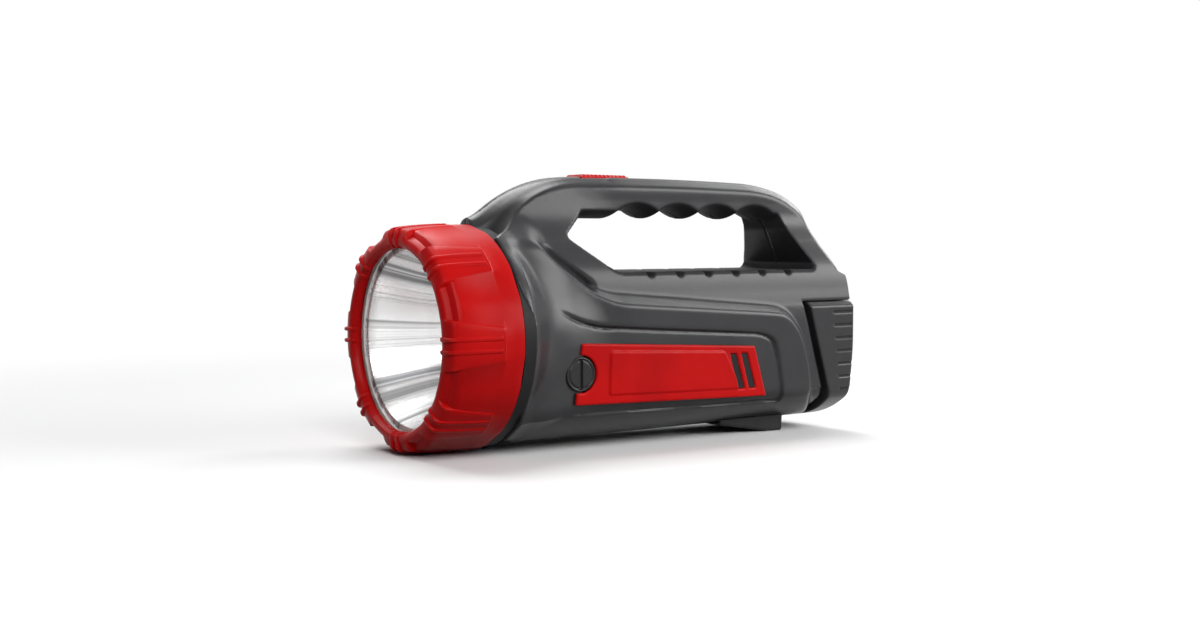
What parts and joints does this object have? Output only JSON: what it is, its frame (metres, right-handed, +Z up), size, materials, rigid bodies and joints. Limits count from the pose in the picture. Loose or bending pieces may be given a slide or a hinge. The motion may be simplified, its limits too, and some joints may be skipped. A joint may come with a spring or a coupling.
{
  "type": "flashlight",
  "caption": "Hand-held flashlight with a loop grip, red turning head bezel, thumb slide, battery side cover with a coin lock, and a rear charging cap.",
  "frame": {"origin": "centre of the overall box, at the bottom, on the surface the lamp stands on", "axes": "+X towards the rear cap, so the lens faces -X; +Y towards the right side as held; +Z up"},
  "size_m": [0.2393, 0.0952, 0.1186],
  "materials": {
    "housing_grey": "satin moulded, fine grain",
    "trim_red": "smooth moulded",
    "collar_black": "satin",
    "clear_lens": "polished clear moulding",
    "soft_rubber": "matt",
    "reflector_chrome": "bright metallised",
    "board_white": "white mask on a metal core",
    "emitter": "clear dome over yellow phosphor",
    "sink_aluminium": "as extruded",
    "steel": "plated",
    "cell_wrap": "plain printed wrap",
    "board_green": "solder mask",
    "light_pipe": "clear moulding",
    "lead_cover": "soft insulation"
  },
  "bodies": {
    "housing": {"housing_left": "housing_grey", "housing_right": "housing_grey", "head_ring": "collar_black", "lens": "clear_lens", "lens_gasket": "soft_rubber", "reflector": "reflector_chrome", "led_board": "board_white", "led_emitter": "emitter", "heat_sink": "sink_aluminium", "slide_switch": "collar_black", "side_trim": "trim_red", "battery_tray": "collar_black", "battery_cells": "cell_wrap", "battery_contacts": "steel", "driver_board": "board_green", "rear_cap": "housing_grey", "rear_cap_screws": "steel", "charge_board": "board_green", "charge_socket": "collar_black", "flap_pin": "steel", "charge_lights": "light_pipe", "housing_screws": "steel", "foot": "soft_rubber", "led_leads": "lead_cover", "switch_leads": "lead_cover", "battery_leads": "lead_cover", "charge_leads": "lead_cover"},
    "bezel_ring": {"bezel": "trim_red"},
    "thumb_slide": {"switch_slider": "trim_red", "switch_lever": "collar_black"},
    "cover": {"side_cover": "trim_red", "cover_seal": "soft_rubber"},
    "lock": {"coin_lock": "housing_grey", "lock_wing": "steel"},
    "flap": {"charge_flap": "soft_rubber"}
  },
  "joints": [
    {"name": "bezel_turn", "type": "hinge", "parent": "housing", "child": "bezel_ring", "pos_m": [-0.08422, 0, 0.0478], "axis": [0.9998, 0, 0.0196], "range_deg": [0, 45]},
    {"name": "switch_slide", "type": "slide", "parent": "housing", "child": "thumb_slide", "axis": [0.9998, 0, 0.0196], "range_m": [0, 0.008]},
    {"name": "cover_lift", "type": "slide", "parent": "housing", "child": "cover", "axis": [0, -1, 0], "range_m": [0, 0.03]},
    {"name": "lock_turn", "type": "hinge", "parent": "housing", "child": "lock", "pos_m": [-0.04853, -0.033, 0.03329], "axis": [0, -1, 0], "range_deg": [0, 90]},
    {"name": "flap_open", "type": "hinge", "parent": "housing", "child": "flap", "pos_m": [0.11789, 0, 0.05926], "axis": [0, -1, 0], "range_deg": [0, 110]}
  ]
}
